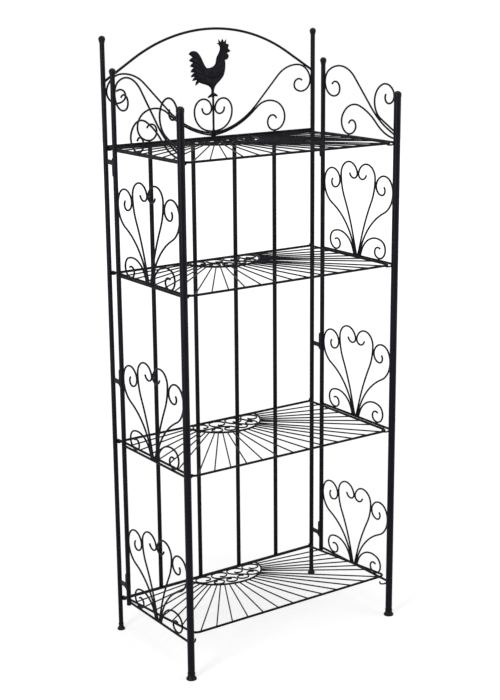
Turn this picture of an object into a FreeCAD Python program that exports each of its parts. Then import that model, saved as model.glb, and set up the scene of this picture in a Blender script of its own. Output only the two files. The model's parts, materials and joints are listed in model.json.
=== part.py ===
import FreeCAD, Part
import math
import os

# A folding bakers rack of black powder-coated steel: a back panel that stands on two slim
# posts, two side panels hinged to it, and four sunburst shelves that swing up on pivot rods.
# Millimetres. X runs along the back, the front faces -Y, Z is up, and the origin lies on
# the floor in the middle of the footprint.

# ---------------------------------------------------------------- driving dimensions
HALF_WIDTH = 337.5          # middle of the rack to the centre of a post
DEPTH = 370.0               # centre of a front post to the centre of a back post
SIDE_POST_SETBACK = 49.0    # centre of a back post to the centre of a side panel's rear post

SLIM_POST_D = 12.7          # back posts and the side panels' rear posts
FRONT_POST_D = 19.0
TUBE_WALL = 1.2
BACK_POST_TOP = 1627.0      # where the finial sits
REAR_POST_TOP = 1548.0
FRONT_POST_TOP = 1478.0
FRONT_CAP_R = 10.5
FRONT_CAP_BULGE = 0.5
REAR_POST_FOOT = 92.0       # the side panels' rear posts stop above the floor

SHELF_LEVELS = (1359.0, 1030.0, 560.0, 102.0)
LOWEST_PIVOT_DROP = 7.0     # the lowest shelf's pivot under its side rails
TOP_RAIL_Z = 1364.0
TOP_RAIL_D = 8.0
BOTTOM_RAIL_Z = 92.0
BOTTOM_RAIL_D = 7.0
BACK_BARS = 4
BACK_BAR_D = 11.8
SIDE_RAIL_D = 6.5

ARCH_D = 6.7
ARCH_FOOT_Z = 1533.0        # where the arch meets the back posts
ARCH_SLOPE = 31.6           # degrees, at its straight ends
ARCH_RADIUS = 472.0

SCROLL_D = 5.0              # the wire of every scroll on the panels
FAN_LEANS = (0.0, 0.0, 2.2)  # degrees that each fan's wires lean out more, from the top down:
                             # the lowest fan is the shortest
STEM_D = 6.0
STEM_TOP_Z = 1471.0
ROOSTER_THICKNESS = 3.0

SHELF_ROD_D = 6.4
PIVOT_ROD_D = 6.8
SHELF_SIDE_SETBACK = 15.0   # post's centre to the middle of a shelf's side rod
SHELF_FRONT_SETBACK = 2.0   # front post's centre to the middle of the shelf's front rod
SHELF_CORNER_R = 18.0
PIVOT_SETBACK = 10.0        # back posts' centres to the shelves' pivot axis
PIVOT_END_INSET = 3.0       # back post's centre line to the end of the pivot rod
RAY_D = 3.8
FRONT_RAYS = 6              # that end on the front rod, to each side of the middle ray
SIDE_RAYS = 6               # that end on each side rod
RAY_SIDE_PITCH = 48.5
RING_R = 116.0
RING_D = 5.6
CURL_D = 4.4                # the wire of the medallion's S-scrolls
CURL_ROW_SPACING = 50.2     # between the S-scrolls' two rows of loops
FRONT_LOOP_PITCH = 39.4     # between the loops of the front row
LIFT_ANGLE = 4.8            # of the lowest shelf, which rests lifted a little off its hooks

HINGE_PIN_D = 6.0
HINGE_PIN_LENGTH = 47.0     # between the middles of the staple's two legs
HINGE_PIN_BEND_R = 5.0
HINGE_EYE_HEIGHT = 12.0
HINGE_EYE_WALL = 1.8
HINGE_ARM_THICKNESS = 4.0
UPPER_HINGE_Z = 1327.0      # middle of each eye
MIDDLE_HINGE_Z = 736.0
LOWER_HINGE_Z = 146.0

PIVOT_TAB_THICKNESS = 6.5
PIVOT_TAB_WALL = 1.7
HOOK_WIRE_D = 4.5
HOOK_SLOPE = 30.0           # degrees, of the hook's root
HOOK_ROOT_BEND_R = 6.0
HOOK_FLAT = 6.5
HOOK_TIP_R = 5.5
HOOK_TIP_RISE = 2.0

BACK_FOOT_R = 11.0
FRONT_FOOT_R = 14.0
FOOT_SKIRT = 3.0
FOOT_FLARE = 5.0
FOOT_SLEEVE = 9.0
FOOT_WALL = 1.3

# ---------------------------------------------------------------- clearances
WELD_GAP = 0.25             # wires of one panel that lie side by side
ARCH_GAP = 0.5              # between the arch and the large scrolls under it
RUNNING_FIT = 0.05          # radial, of every pin and pivot rod
LOOSE = 0.35                # pieces of different bodies that pass each other
SEAT_GAP = 0.3              # a shelf rod over the hook that carries it

# ---------------------------------------------------------------- places worked out from them
SLIM_R = SLIM_POST_D / 2
FRONT_R = FRONT_POST_D / 2
SCROLL_R = SCROLL_D / 2
WIRE_PITCH = SCROLL_D + WELD_GAP
FOOTPRINT = DEPTH + BACK_FOOT_R + FRONT_FOOT_R
Y_FRONT = FRONT_FOOT_R - FOOTPRINT / 2
Y_BACK = Y_FRONT + DEPTH
Y_REAR_POST = Y_BACK - SIDE_POST_SETBACK
Y_PIVOT = Y_BACK - PIVOT_SETBACK
HINGE_EYE_R = HINGE_PIN_D / 2 + RUNNING_FIT + HINGE_EYE_WALL
HINGE_REACH = SLIM_R + LOOSE + HINGE_EYE_R       # rear post's centre to the hinge pin's
Y_HINGE = Y_REAR_POST + HINGE_REACH
BAY = DEPTH - SIDE_POST_SETBACK - FRONT_R - SLIM_R   # clear width of a side panel
SHELF_DEPTH = DEPTH - PIVOT_SETBACK - SHELF_FRONT_SETBACK
SHELF_HALF_WIDTH = HALF_WIDTH - SHELF_SIDE_SETBACK
PIVOT_LEVELS = SHELF_LEVELS[:-1] + (SHELF_LEVELS[-1] - LOWEST_PIVOT_DROP,)

X, Y, Z = FreeCAD.Vector(1, 0, 0), FreeCAD.Vector(0, 1, 0), FreeCAD.Vector(0, 0, 1)
ORIGIN = FreeCAD.Vector(0, 0, 0)
SIDES = (("left", -1), ("right", 1))

os.makedirs("parts", exist_ok=True)


# ---------------------------------------------------------------- helpers
def at(x, y, z):
    return FreeCAD.Vector(x, y, z)


def rod(start, end, diameter):
    """A straight round rod between two points."""
    along = end - start
    return Part.makeCylinder(diameter / 2, along.Length, start, along)


def tube(x, y, low, high, diameter):
    """An upright tube."""
    bore = diameter - 2 * TUBE_WALL
    outer = rod(at(x, y, low), at(x, y, high), diameter)
    return outer.cut(rod(at(x, y, low), at(x, y, high), bore))


def dome(rim, top):
    """The arc of a round dome, from a rim point to a point on the upright axis."""
    rise = top.z - rim.z
    radius = (rise ** 2 + rim.x ** 2) / (2 * rise)
    half_angle = math.acos((radius - rise) / radius) / 2
    middle = at(radius * math.sin(half_angle), 0, top.z - radius * (1 - math.cos(half_angle)))
    return Part.Arc(rim, middle, top)


def turned(profile, x, y, z):
    """A solid turned about an upright axis from (radius, height) points. A third value in
    a point bulges the edge that ends there outwards, and an edge that ends on the axis
    is a dome."""
    points = [at(0, 0, profile[0][1])] + [at(p[0], 0, p[1]) for p in profile]
    bulges = [0] + [p[2] if len(p) > 2 else 0 for p in profile]
    edges = []
    for start, end, bulge in zip(points, points[1:], bulges):
        if end.x == 0:
            edges.append(dome(start, end).toShape())
        elif bulge:
            middle = (start + end) / 2 + Y.cross(end - start).normalize() * bulge
            edges.append(Part.Arc(start, middle, end).toShape())
        else:
            edges.append(Part.LineSegment(start, end).toShape())
    if points[-1].x > 0:
        points.append(at(0, 0, points[-1].z))
        edges.append(Part.LineSegment(points[-2], points[-1]).toShape())
    edges.append(Part.LineSegment(points[-1], points[0]).toShape())
    solid = Part.Face(Part.Wire(edges)).revolve(ORIGIN, Z, 360)
    solid.translate(at(x, y, z))
    return solid


# A bent wire is drawn in a plane as a start, a heading in degrees and a list of moves:
# run(length) goes straight on, turn(degrees, radius) bends left (+) or right (-).
def run(length):
    return (length, 0, 0)


def turn(degrees, radius):
    return (0, degrees, radius)


def scaled(moves, factor):
    return [(length * factor, degrees, radius * factor) for length, degrees, radius in moves]


def step(place, heading, move):
    """Where a move ends, its middle, and the heading there."""
    length, degrees, radius = move
    h = math.radians(heading)
    if not degrees:
        end = (place[0] + length * math.cos(h), place[1] + length * math.sin(h))
        return end, None, heading
    side = math.copysign(radius, degrees)
    centre = (place[0] - side * math.sin(h), place[1] + side * math.cos(h))
    stops = []
    for share in (0.5, 1.0):
        g = math.radians(heading + degrees * share)
        stops.append((centre[0] + side * math.sin(g), centre[1] - side * math.cos(g)))
    return stops[1], stops[0], heading + degrees


def travel(heading, moves):
    """How far a list of moves goes in the plane, and its heading at the end."""
    place = (0.0, 0.0)
    for move in moves:
        place, _, heading = step(place, heading, move)
    return place[0], place[1], heading


def bent_wire(plane, start, heading, moves, diameter):
    """A round wire swept along its moves; plane is (origin, across, up)."""
    origin, across, up = plane
    normal_first = across * math.cos(math.radians(heading)) + up * math.sin(math.radians(heading))
    place, edges = start, []
    for move in moves:
        here = origin + across * place[0] + up * place[1]
        end, middle, heading = step(place, heading, move)
        there = origin + across * end[0] + up * end[1]
        if middle is None:
            edges.append(Part.LineSegment(here, there).toShape())
        else:
            via = origin + across * middle[0] + up * middle[1]
            edges.append(Part.Arc(here, via, there).toShape())
        place = end
    first = origin + across * start[0] + up * start[1]
    section = Part.Wire(Part.Circle(first, normal_first, diameter / 2).toShape())
    return Part.Wire(edges).makePipe(Part.Face(section))


def without(solid, *others):
    """A solid coped to fit against others."""
    for other in others:
        solid = solid.cut(other)
    return largest(solid)


def largest(shape):
    return max(shape.Solids, key=lambda piece: piece.Volume)


def save(node, *solids):
    """Writes one sub-part; several solids share a file as a group."""
    found = [piece for solid in solids for piece in solid.Solids]
    shape = found[0] if len(found) == 1 else Part.makeCompound(found)
    shape.exportStep("parts/%s.step" % node)
    print("%-28s %2d solid(s)" % (node, len(found)))


# ---------------------------------------------------------------- posts, finials and feet
def slim_finial(x, y, z):
    """A round knob that swells out of a slim post."""
    return turned([(SLIM_R, 0), (SLIM_R + 2.8, 11, 0.8), (0, 20)], x, y, z)


def front_finial(x, y, z):
    """A full round cap on a front post."""
    return turned([(FRONT_R, 0), (FRONT_CAP_R, 4, -0.2), (FRONT_CAP_R, 10, FRONT_CAP_BULGE),
                   (0, 17)], x, y, z)


def foot(x, y, post_r, foot_r):
    """A flared cap pushed over the end of a post, with a solid sole."""
    sleeve_r = post_r + FOOT_WALL
    top = FOOT_SKIRT + FOOT_FLARE + FOOT_SLEEVE
    cap = turned([(foot_r, 0), (foot_r, FOOT_SKIRT), (sleeve_r, FOOT_SKIRT + FOOT_FLARE, -0.8),
                  (sleeve_r, top)], x, y, 0)
    return cap.cut(rod(at(x, y, FOOT_SKIRT), at(x, y, top), 2 * post_r))


def back_post(x):
    return tube(x, Y_BACK, FOOT_SKIRT, BACK_POST_TOP, SLIM_POST_D)


def solid_post(x, y, diameter):
    """A post's outside, to cope other pieces against."""
    return rod(at(x, y, 0), at(x, y, BACK_POST_TOP), diameter)


for side, sign in SIDES:
    save(side + "_back_post", back_post(sign * HALF_WIDTH))
save("back_finials", *[slim_finial(sign * HALF_WIDTH, Y_BACK, BACK_POST_TOP) for _, sign in SIDES])
save("back_feet", *[foot(sign * HALF_WIDTH, Y_BACK, SLIM_R, BACK_FOOT_R) for _, sign in SIDES])

# ---------------------------------------------------------------- back rails and bars
BACK_POSTS = [solid_post(sign * HALF_WIDTH, Y_BACK, SLIM_POST_D) for _, sign in SIDES]


def back_rail(z, diameter):
    """A round rail from post to post, its ends coped to them."""
    return rod(at(-HALF_WIDTH, Y_BACK, z), at(HALF_WIDTH, Y_BACK, z), diameter)


top_rail = without(back_rail(TOP_RAIL_Z, TOP_RAIL_D), *BACK_POSTS)
bottom_rail = without(back_rail(BOTTOM_RAIL_Z, BOTTOM_RAIL_D), *BACK_POSTS)
save("back_top_rail", top_rail)
save("back_bottom_rail", bottom_rail)

for number in range(1, BACK_BARS + 1):
    x = HALF_WIDTH * (2 * number / (BACK_BARS + 1) - 1)
    bar = tube(x, Y_BACK, BOTTOM_RAIL_Z, TOP_RAIL_Z, BACK_BAR_D)
    save("back_bar_%d" % number, without(bar, top_rail, bottom_rail))

# ---------------------------------------------------------------- arch over the back panel
BACK_PLANE = (at(0, Y_BACK, 0), X, Z)
arch_bend_reach = ARCH_RADIUS * math.sin(math.radians(ARCH_SLOPE))
arch_run = (HALF_WIDTH - arch_bend_reach) / math.cos(math.radians(ARCH_SLOPE))
arch_start = (-HALF_WIDTH, ARCH_FOOT_Z - SLIM_R * math.tan(math.radians(ARCH_SLOPE)))
arch = bent_wire(BACK_PLANE, arch_start, ARCH_SLOPE,
                 [run(arch_run), turn(-2 * ARCH_SLOPE, ARCH_RADIUS), run(arch_run)], ARCH_D)
save("arch", without(arch, *BACK_POSTS))

# ---------------------------------------------------------------- scrolls of the back panel
# Three wires leave the stem's foot one above the other: a small scroll that lies on the
# top rail, a large one that reaches the post, and half of a heart.
RAIL_TOP = TOP_RAIL_Z + TOP_RAIL_D / 2
BACK_SCROLL_HEADING = 10.0
BACK_SCROLL_START = STEM_D / 2 + WELD_GAP + SCROLL_R * math.sin(math.radians(BACK_SCROLL_HEADING))
LARGE_RISE_R = 235.0


def stacked_start(row):
    """The start of the wire in this row of the stack, counted from the rail."""
    return (BACK_SCROLL_START, RAIL_TOP + SCROLL_R + WELD_GAP + row * WIRE_PITCH)


def large_back_scroll():
    """A wire that rises to the arch: its shoulder passes just under the arch, and its
    outermost place is beside the post. Halving finds the bend that takes it there."""
    shoulder_r = 48.0
    fall = [turn(-15, 31)]
    shoulder = [turn(-74, shoulder_r)] + fall
    start = stacked_start(1)
    target = HALF_WIDTH - SLIM_R - WELD_GAP - SCROLL_R
    arch_slope = math.radians(ARCH_SLOPE)
    down_x, down_z, _ = travel(-ARCH_SLOPE, [turn(ARCH_SLOPE - 75, shoulder_r)] + fall)
    arch_z = ARCH_FOOT_Z + (HALF_WIDTH - SLIM_R - target + down_x) * math.tan(arch_slope)
    spacing = ARCH_D / 2 + ARCH_GAP + SCROLL_R
    target_z = arch_z - spacing / math.cos(arch_slope) + down_z
    gentle, steep = 0.0, 75.0
    while steep - gentle > 0.001:
        bend = (gentle + steep) / 2
        rise = [run(12), turn(bend, LARGE_RISE_R)]
        rise_x, rise_z, slope = travel(BACK_SCROLL_HEADING, rise)
        over = [turn(-1 - slope, 90)] + shoulder
        over_x, over_z, _ = travel(slope, over)
        climb = target_z - start[1] - rise_z - over_z
        straight = (target - start[0] - rise_x - over_x) / math.cos(math.radians(slope))
        if straight * math.sin(math.radians(slope)) > climb:
            steep = bend
        else:
            gentle = bend
    return start, rise + [run(straight)] + over + [turn(-126, 31), turn(-187, 16)]


def small_back_scroll():
    rise = [run(12), turn(30, LARGE_RISE_R + 2 * WIRE_PITCH), run(20)]
    over = [turn(-68, 62), turn(-62, 46)]
    start = stacked_start(0)
    # from its outermost place the wire comes down in a quarter turn onto the rail
    lobe_r = travel(BACK_SCROLL_HEADING, rise + over)[1]
    curl = [turn(-90, lobe_r), turn(-120, 0.66 * lobe_r), turn(-130, 0.42 * lobe_r)]
    return start, rise + over + curl


def half_heart():
    belly = [turn(86, 52), turn(46, 34), turn(128, 26)]
    start = stacked_start(2)
    target = STEM_D / 2 + WELD_GAP + SCROLL_R
    covered = travel(BACK_SCROLL_HEADING, belly)[0]
    straight = (target - start[0] - covered) / math.cos(math.radians(BACK_SCROLL_HEADING))
    return start, [run(straight)] + belly + [turn(190, 15)]


heart_halves = []
for side, sign in SIDES:
    plane = (at(0, Y_BACK, 0), X * sign, Z)
    start, moves = large_back_scroll()
    save(side + "_large_back_scroll", bent_wire(plane, start, BACK_SCROLL_HEADING, moves, SCROLL_D))
    start, moves = small_back_scroll()
    save(side + "_small_back_scroll", bent_wire(plane, start, BACK_SCROLL_HEADING, moves, SCROLL_D))
    start, moves = half_heart()
    heart_halves.append(bent_wire(plane, start, BACK_SCROLL_HEADING, moves, SCROLL_D))
save("heart_scrolls", *heart_halves)

# ---------------------------------------------------------------- stem and rooster
stem = rod(at(0, Y_BACK, TOP_RAIL_Z), at(0, Y_BACK, STEM_TOP_Z), STEM_D)
save("rooster_stem", without(stem, top_rail))

# The rooster is cut from sheet. Its outline is in millimetres from the stem's top, and
# smooth stretches are drawn through their points while the others keep their corners.
ROOSTER_BREAST = [(3, 14), (11, 35), (24, 46), (35, 59), (40, 75), (41, 90), (40, 100)]
ROOSTER_WATTLE = [(40, 100), (47, 101), (52, 108), (46, 117)]
ROOSTER_BEAK_AND_COMB = [(46, 117), (59, 122), (50, 130), (53, 140), (44, 143), (44, 154),
                         (37, 147), (32, 156), (27, 147), (19, 155), (20, 145), (13, 144)]
ROOSTER_NECK_AND_SADDLE = [(13, 144), (24, 132), (20, 119), (12, 105), (8, 90), (-4, 82), (-20, 81)]
ROOSTER_TAIL_TOP = [(-20, 81), (-29, 94), (-40, 114), (-50, 124), (-61, 127), (-76, 119)]
ROOSTER_TAIL_FEATHERS = [(-76, 119), (-64, 110), (-75, 101), (-63, 96), (-72, 86), (-61, 83),
                         (-71, 71), (-59, 70), (-71, 58), (-57, 59), (-66, 48), (-51, 50),
                         (-56, 35), (-44, 43)]
FEATHER_BULGE = 1.6
ROOSTER_BELLY = [(-44, 43), (-27, 37), (-10, 29), (-6, 12)]
ROOSTER_FEET = [(-6, 12), (-17, 4), (-17, 0), (-4, 3), (-3, 0), (3, 0), (4, 4), (15, 3),
                (14, 8), (3, 14)]


def drawn(points):
    return [at(x, 0, z) for x, z in points]


def corners(points):
    placed = drawn(points)
    return [Part.LineSegment(a, b).toShape() for a, b in zip(placed, placed[1:])]


def smooth(points):
    curve = Part.BSplineCurve()
    curve.interpolate(drawn(points))
    return [curve.toShape()]


def feathers(points):
    """Tips and notches by turns: a rounded edge out to each tip and a straight one back."""
    placed = drawn(points)
    edges = []
    for tip, notch, next_tip in zip(placed[::2], placed[1::2], placed[2::2] + [None]):
        edges.append(Part.LineSegment(tip, notch).toShape())
        if next_tip:
            middle = (notch + next_tip) / 2 + Y.cross(next_tip - notch).normalize() * FEATHER_BULGE
            edges.append(Part.Arc(notch, middle, next_tip).toShape())
    return edges


rooster_edges = (smooth(ROOSTER_BREAST) + smooth(ROOSTER_WATTLE) + corners(ROOSTER_BEAK_AND_COMB)
                 + smooth(ROOSTER_NECK_AND_SADDLE) + smooth(ROOSTER_TAIL_TOP)
                 + feathers(ROOSTER_TAIL_FEATHERS) + smooth(ROOSTER_BELLY)
                 + corners(ROOSTER_FEET))
rooster = Part.Face(Part.Wire(rooster_edges)).extrude(Y * ROOSTER_THICKNESS)
rooster.translate(at(0, Y_BACK - ROOSTER_THICKNESS / 2, STEM_TOP_Z))
save("rooster", rooster)

# ---------------------------------------------------------------- hinges of the side panels
# Each back post carries three eyes, and a staple on the side panel's rear post is the pin.
# The upper eye sits near the top of its pin and the other two near the foot.
STAPLE_STEP = HINGE_PIN_BEND_R + LOOSE + HINGE_EYE_HEIGHT / 2   # staple leg to the eye's middle
STAPLE_TOPS = (UPPER_HINGE_Z + STAPLE_STEP,
               MIDDLE_HINGE_Z - STAPLE_STEP + HINGE_PIN_LENGTH,
               LOWER_HINGE_Z - STAPLE_STEP + HINGE_PIN_LENGTH)


def hinge_eye(x, z, post):
    low = z - HINGE_EYE_HEIGHT / 2
    ring = Part.makeCylinder(HINGE_EYE_R, HINGE_EYE_HEIGHT, at(x, Y_HINGE, low))
    arm = Part.makeBox(HINGE_ARM_THICKNESS, Y_BACK - Y_HINGE, HINGE_EYE_HEIGHT,
                       at(x - HINGE_ARM_THICKNESS / 2, Y_HINGE, low))
    bore = Part.makeCylinder(HINGE_PIN_D / 2 + RUNNING_FIT, HINGE_EYE_HEIGHT, at(x, Y_HINGE, low))
    return without(ring.fuse(arm).removeSplitter(), bore, post)


def staple(x, top, post):
    straight = HINGE_REACH - HINGE_PIN_BEND_R
    moves = [run(straight), turn(-90, HINGE_PIN_BEND_R), run(HINGE_PIN_LENGTH - 2 * HINGE_PIN_BEND_R),
             turn(-90, HINGE_PIN_BEND_R), run(straight)]
    return bent_wire((at(x, 0, 0), Y, Z), (Y_REAR_POST, top), 0, moves, HINGE_PIN_D)


# ---------------------------------------------------------------- pivot tabs of the shelves
def pivot_tab(sign, z, *neighbours):
    """A drilled tab on a back post that carries one end of a shelf's pivot rod."""
    tab_r = PIVOT_ROD_D / 2 + RUNNING_FIT + PIVOT_TAB_WALL
    outside = sign * (HALF_WIDTH - SLIM_R + PIVOT_TAB_THICKNESS / 4)
    inside = outside - sign * PIVOT_TAB_THICKNESS
    low_x = min(inside, outside)
    nose = Part.makeCylinder(tab_r, PIVOT_TAB_THICKNESS, at(low_x, Y_PIVOT, z), X)
    plate = Part.makeBox(PIVOT_TAB_THICKNESS, PIVOT_SETBACK, 2 * tab_r,
                         at(low_x, Y_PIVOT, z - tab_r))
    bore = Part.makeCylinder(PIVOT_ROD_D / 2 + RUNNING_FIT, PIVOT_TAB_THICKNESS,
                             at(low_x, Y_PIVOT, z), X)
    return without(nose.fuse(plate).removeSplitter(), bore, *neighbours)


# ---------------------------------------------------------------- side panels
# A fan stands on each of the lower three rails. Six wires rise side by side from the
# middle of the rail: two that meet at the top, two that lean on the posts, two low curls.
FAN_SPLIT = 77.0            # middle of the fan to where its inner and outer wires touch


def fan_inner_wire(start, lean):
    heading = 73.5
    bow = 10 + lean
    stem = [run(22), turn(-bow, 240), turn(90 + bow - heading, 57)]
    lobe = [turn(163, 57), turn(17, 20)]
    curl = [turn(50, 20), turn(114, 28.5)]
    widest = FAN_SPLIT - SCROLL_R - WELD_GAP / 2
    narrowest = SCROLL_R + WELD_GAP / 2
    return start, heading, sprung(start, heading, stem, widest, lobe, widest - narrowest, curl)


def fan_outer_wire(start, lean):
    heading = 71.5
    bow = 45.5 + lean
    stem = [run(19), turn(-bow, 163), turn(90 + bow - heading, 54)]
    lobe = [turn(28, 54), turn(130, 36), turn(22, 24)]
    curl = [turn(94, 24), turn(132, 14)]
    widest = BAY / 2 - SCROLL_R - WELD_GAP
    narrowest = FAN_SPLIT + SCROLL_R + WELD_GAP / 2
    return start, heading, sprung(start, heading, stem, widest, lobe, widest - narrowest, curl)


def sprung(start, heading, stem, widest, lobe, lobe_width, curl):
    """Scales a stem to reach its widest place, and a lobe and curl to the lobe's width."""
    stem_x, _, upright = travel(heading, stem)
    lobe_x = travel(upright, lobe)[0]
    stem_scale = (widest - start[0]) / stem_x
    lobe_scale = lobe_width / -lobe_x
    return scaled(stem, stem_scale) + scaled(lobe + curl, lobe_scale)


def fan_low_curl(start):
    """A low curl that leans away and comes down to rest on the rail."""
    heading = 69.0
    over = [turn(-88, 67), turn(-82 - heading, 26), turn(-10, 22.5)]
    curl = [turn(-40, 22.5), turn(-178, 14)]
    rest_height = SIDE_RAIL_D / 2 + SCROLL_R + WELD_GAP
    straight = (rest_height - start[1] - travel(heading, over)[1]) / math.sin(math.radians(heading))
    return start, heading, [run(straight)] + over + curl


def fan(x, level, rail, lean):
    """The six wires of one fan, their feet coped to the rail."""
    middle = Y_FRONT + FRONT_R + BAY / 2
    wires = []
    for facing in (-1, 1):
        plane = (at(x, middle, level), Y * facing, Z)
        starts = [((place + 0.5) * WIRE_PITCH, 0) for place in range(3)]
        drawings = (fan_inner_wire(starts[0], lean), fan_outer_wire(starts[1], lean),
                    fan_low_curl(starts[2]))
        for start, heading, moves in drawings:
            wires.append(without(bent_wire(plane, start, heading, moves, SCROLL_D), rail))
    return wires


# Three scrolls spring from the front post above the top rail of a side panel.
def tall_crest_scroll():
    """The highest wire, which leans on the rear post."""
    heading = 25.4
    rise = [run(40), turn(21, 236)]
    over = [turn(-78, 91), turn(-58.4, 38)]
    rise_x, _, slope = travel(heading, rise)
    target = FRONT_R + BAY - SCROLL_R - WELD_GAP
    straight = (target - rise_x - travel(slope, over)[0]) / math.cos(math.radians(slope))
    return (0, 15), heading, rise + [run(straight)] + over + [turn(-118, 38), turn(-205, 19)]


def middle_crest_scroll():
    """The wire below it, which comes down onto the rail."""
    start, heading = (0, 8.2), 8.6
    rise = [run(15), turn(34, 134), turn(-26, 186), turn(-78, 64)]
    _, rise_y, slope = travel(heading, rise)
    rest_height = SIDE_RAIL_D / 2 + SCROLL_R + WELD_GAP
    lobe_r = (start[1] + rise_y - rest_height) / (1 + math.cos(math.radians(slope)))
    return start, heading, rise + [turn(-234 - slope, lobe_r), turn(-195, 0.48 * lobe_r)]


def short_crest_scroll():
    """The wire above both, which curls back to the front post."""
    heading = 27.0
    belly = [turn(131, 50), turn(78, 38), turn(61 - heading, 22)]
    target = FRONT_CAP_R + FRONT_CAP_BULGE + WELD_GAP + SCROLL_R
    straight = (target - travel(heading, belly)[0]) / math.cos(math.radians(heading))
    return (0, 23.5), heading, [run(straight)] + belly + [turn(90, 22), turn(125, 15)]


def crest_scrolls(x, level, front_post):
    plane = (at(x, Y_FRONT, level), Y, Z)
    drawings = (tall_crest_scroll(), middle_crest_scroll(), short_crest_scroll())
    return [without(bent_wire(plane, start, heading, moves, SCROLL_D), front_post)
            for start, heading, moves in drawings]


# A hook on the front post's inner quarter cradles the shelf's rounded corner. It lies in
# the upright plane through the post's axis and the middle of the corner's arc.
CORNER_X = SHELF_HALF_WIDTH - SHELF_CORNER_R
CORNER_Y = Y_FRONT + SHELF_FRONT_SETBACK + SHELF_CORNER_R


def shelf_hook(sign, level, front_post):
    away = at(sign * (CORNER_X - HALF_WIDTH), CORNER_Y - Y_FRONT, 0)
    seat = away.Length - SHELF_CORNER_R
    depth = SHELF_ROD_D / 2 + SEAT_GAP + HOOK_WIRE_D / 2
    plane = (at(sign * HALF_WIDTH, Y_FRONT, level), away.normalize(), Z)
    flat_end = seat + 1.0
    root_bend = [turn(HOOK_SLOPE, HOOK_ROOT_BEND_R), run(HOOK_FLAT)]
    bend_x, bend_y, _ = travel(-HOOK_SLOPE, root_bend)
    slope_x = flat_end - bend_x
    slope = slope_x / math.cos(math.radians(HOOK_SLOPE))
    start = (0, slope_x * math.tan(math.radians(HOOK_SLOPE)) - bend_y - depth)
    moves = [run(slope)] + root_bend + [turn(90, HOOK_TIP_R), run(HOOK_TIP_RISE)]
    return without(bent_wire(plane, start, -HOOK_SLOPE, moves, HOOK_WIRE_D), front_post)


for side, sign in SIDES:
    x = sign * HALF_WIDTH
    front_post = solid_post(x, Y_FRONT, FRONT_POST_D)
    rear_post = solid_post(x, Y_REAR_POST, SLIM_POST_D)
    back_post_outside = solid_post(x, Y_BACK, SLIM_POST_D)
    save(side + "_front_post", tube(x, Y_FRONT, FOOT_SKIRT, FRONT_POST_TOP, FRONT_POST_D))
    save(side + "_rear_post", tube(x, Y_REAR_POST, REAR_POST_FOOT, REAR_POST_TOP, SLIM_POST_D))
    save(side + "_finials", front_finial(x, Y_FRONT, FRONT_POST_TOP),
         slim_finial(x, Y_REAR_POST, REAR_POST_TOP))
    save(side + "_front_foot", foot(x, Y_FRONT, FRONT_R, FRONT_FOOT_R))
    rails = [without(rod(at(x, Y_FRONT, level), at(x, Y_REAR_POST, level), SIDE_RAIL_D),
                     front_post, rear_post) for level in SHELF_LEVELS]
    save(side + "_side_rails", *rails)
    fans = zip(("upper", "middle", "lower"), rails[1:], SHELF_LEVELS[1:], FAN_LEANS)
    for name, rail, level, lean in fans:
        save("%s_%s_fan" % (side, name), *fan(x, level, rail, lean))
    save(side + "_crest_scrolls", *crest_scrolls(x, SHELF_LEVELS[0], front_post))
    save(side + "_shelf_hooks", *[shelf_hook(sign, level, front_post) for level in SHELF_LEVELS])
    save(side + "_hinge_pins", *[without(staple(x, top, rear_post), rear_post)
                                 for top in STAPLE_TOPS])
    save(side + "_hinge_eyes", *[hinge_eye(x, z, back_post_outside)
                                 for z in (UPPER_HINGE_Z, MIDDLE_HINGE_Z, LOWER_HINGE_Z)])

save("shelf_pivot_tabs", *[pivot_tab(sign, level, post, top_rail, bottom_rail)
                           for level in PIVOT_LEVELS
                           for (_, sign), post in zip(SIDES, BACK_POSTS)])

# ---------------------------------------------------------------- one shelf, drawn at height 0
SHELF_PLANE = (at(0, Y_PIVOT, 0), X, -Y)     # across the rack, and forwards from the pivot


def shelf_point(across, forward):
    return at(across, Y_PIVOT - forward, 0)


def shelf_rod():
    """The rod round a shelf's front and sides."""
    side_run = SHELF_DEPTH - SHELF_CORNER_R
    corner = turn(-90, SHELF_CORNER_R)
    moves = [run(side_run), corner, run(2 * CORNER_X), corner, run(side_run)]
    return bent_wire(SHELF_PLANE, (-SHELF_HALF_WIDTH, 0), 90, moves, SHELF_ROD_D)


def rays(frame, ring):
    """Straight rods from the ring to the front rod and to both side rods. They are evenly
    spaced on the frame, and all of them point at the ring's centre."""
    last = FRONT_RAYS + SIDE_RAYS
    found = []
    for number in range(-last, last + 1):
        if abs(number) <= FRONT_RAYS:
            across, forward = CORNER_X * number / FRONT_RAYS, SHELF_DEPTH
        else:
            across = math.copysign(SHELF_HALF_WIDTH, number)
            forward = (last + 1 - abs(number)) * RAY_SIDE_PITCH
        share = RING_R / math.hypot(across, forward)
        inner = shelf_point(across * share, forward * share)
        found.append(without(rod(inner, shelf_point(across, forward), RAY_D), frame, ring))
    return found


def s_scroll(back_loop, back_r, front_loop, front_r):
    """A wire that curls round one centre, crosses over and curls the other way round the
    second: the straight between them touches both loops."""
    lean_x, lean_y = front_loop[0] - back_loop[0], front_loop[1] - back_loop[1]
    reach = math.hypot(lean_x, lean_y)
    crossing = math.asin((back_r + front_r) / reach)
    heading = math.degrees(math.atan2(lean_y, lean_x) - crossing)
    straight = reach * math.cos(crossing)
    curl_in = [turn(-100, 0.5 * back_r), turn(-110, 0.8 * back_r), turn(-190, back_r)]
    curl_out = [turn(190, front_r), turn(110, 0.8 * front_r), turn(100, 0.5 * front_r)]
    first_heading = heading + 400
    in_x, in_y, _ = travel(first_heading, curl_in)
    h = math.radians(heading)
    start = (back_loop[0] - back_r * math.sin(h) - in_x, back_loop[1] + back_r * math.cos(h) - in_y)
    return bent_wire(SHELF_PLANE, start, first_heading, curl_in + [run(straight)] + curl_out, CURL_D)


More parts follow.
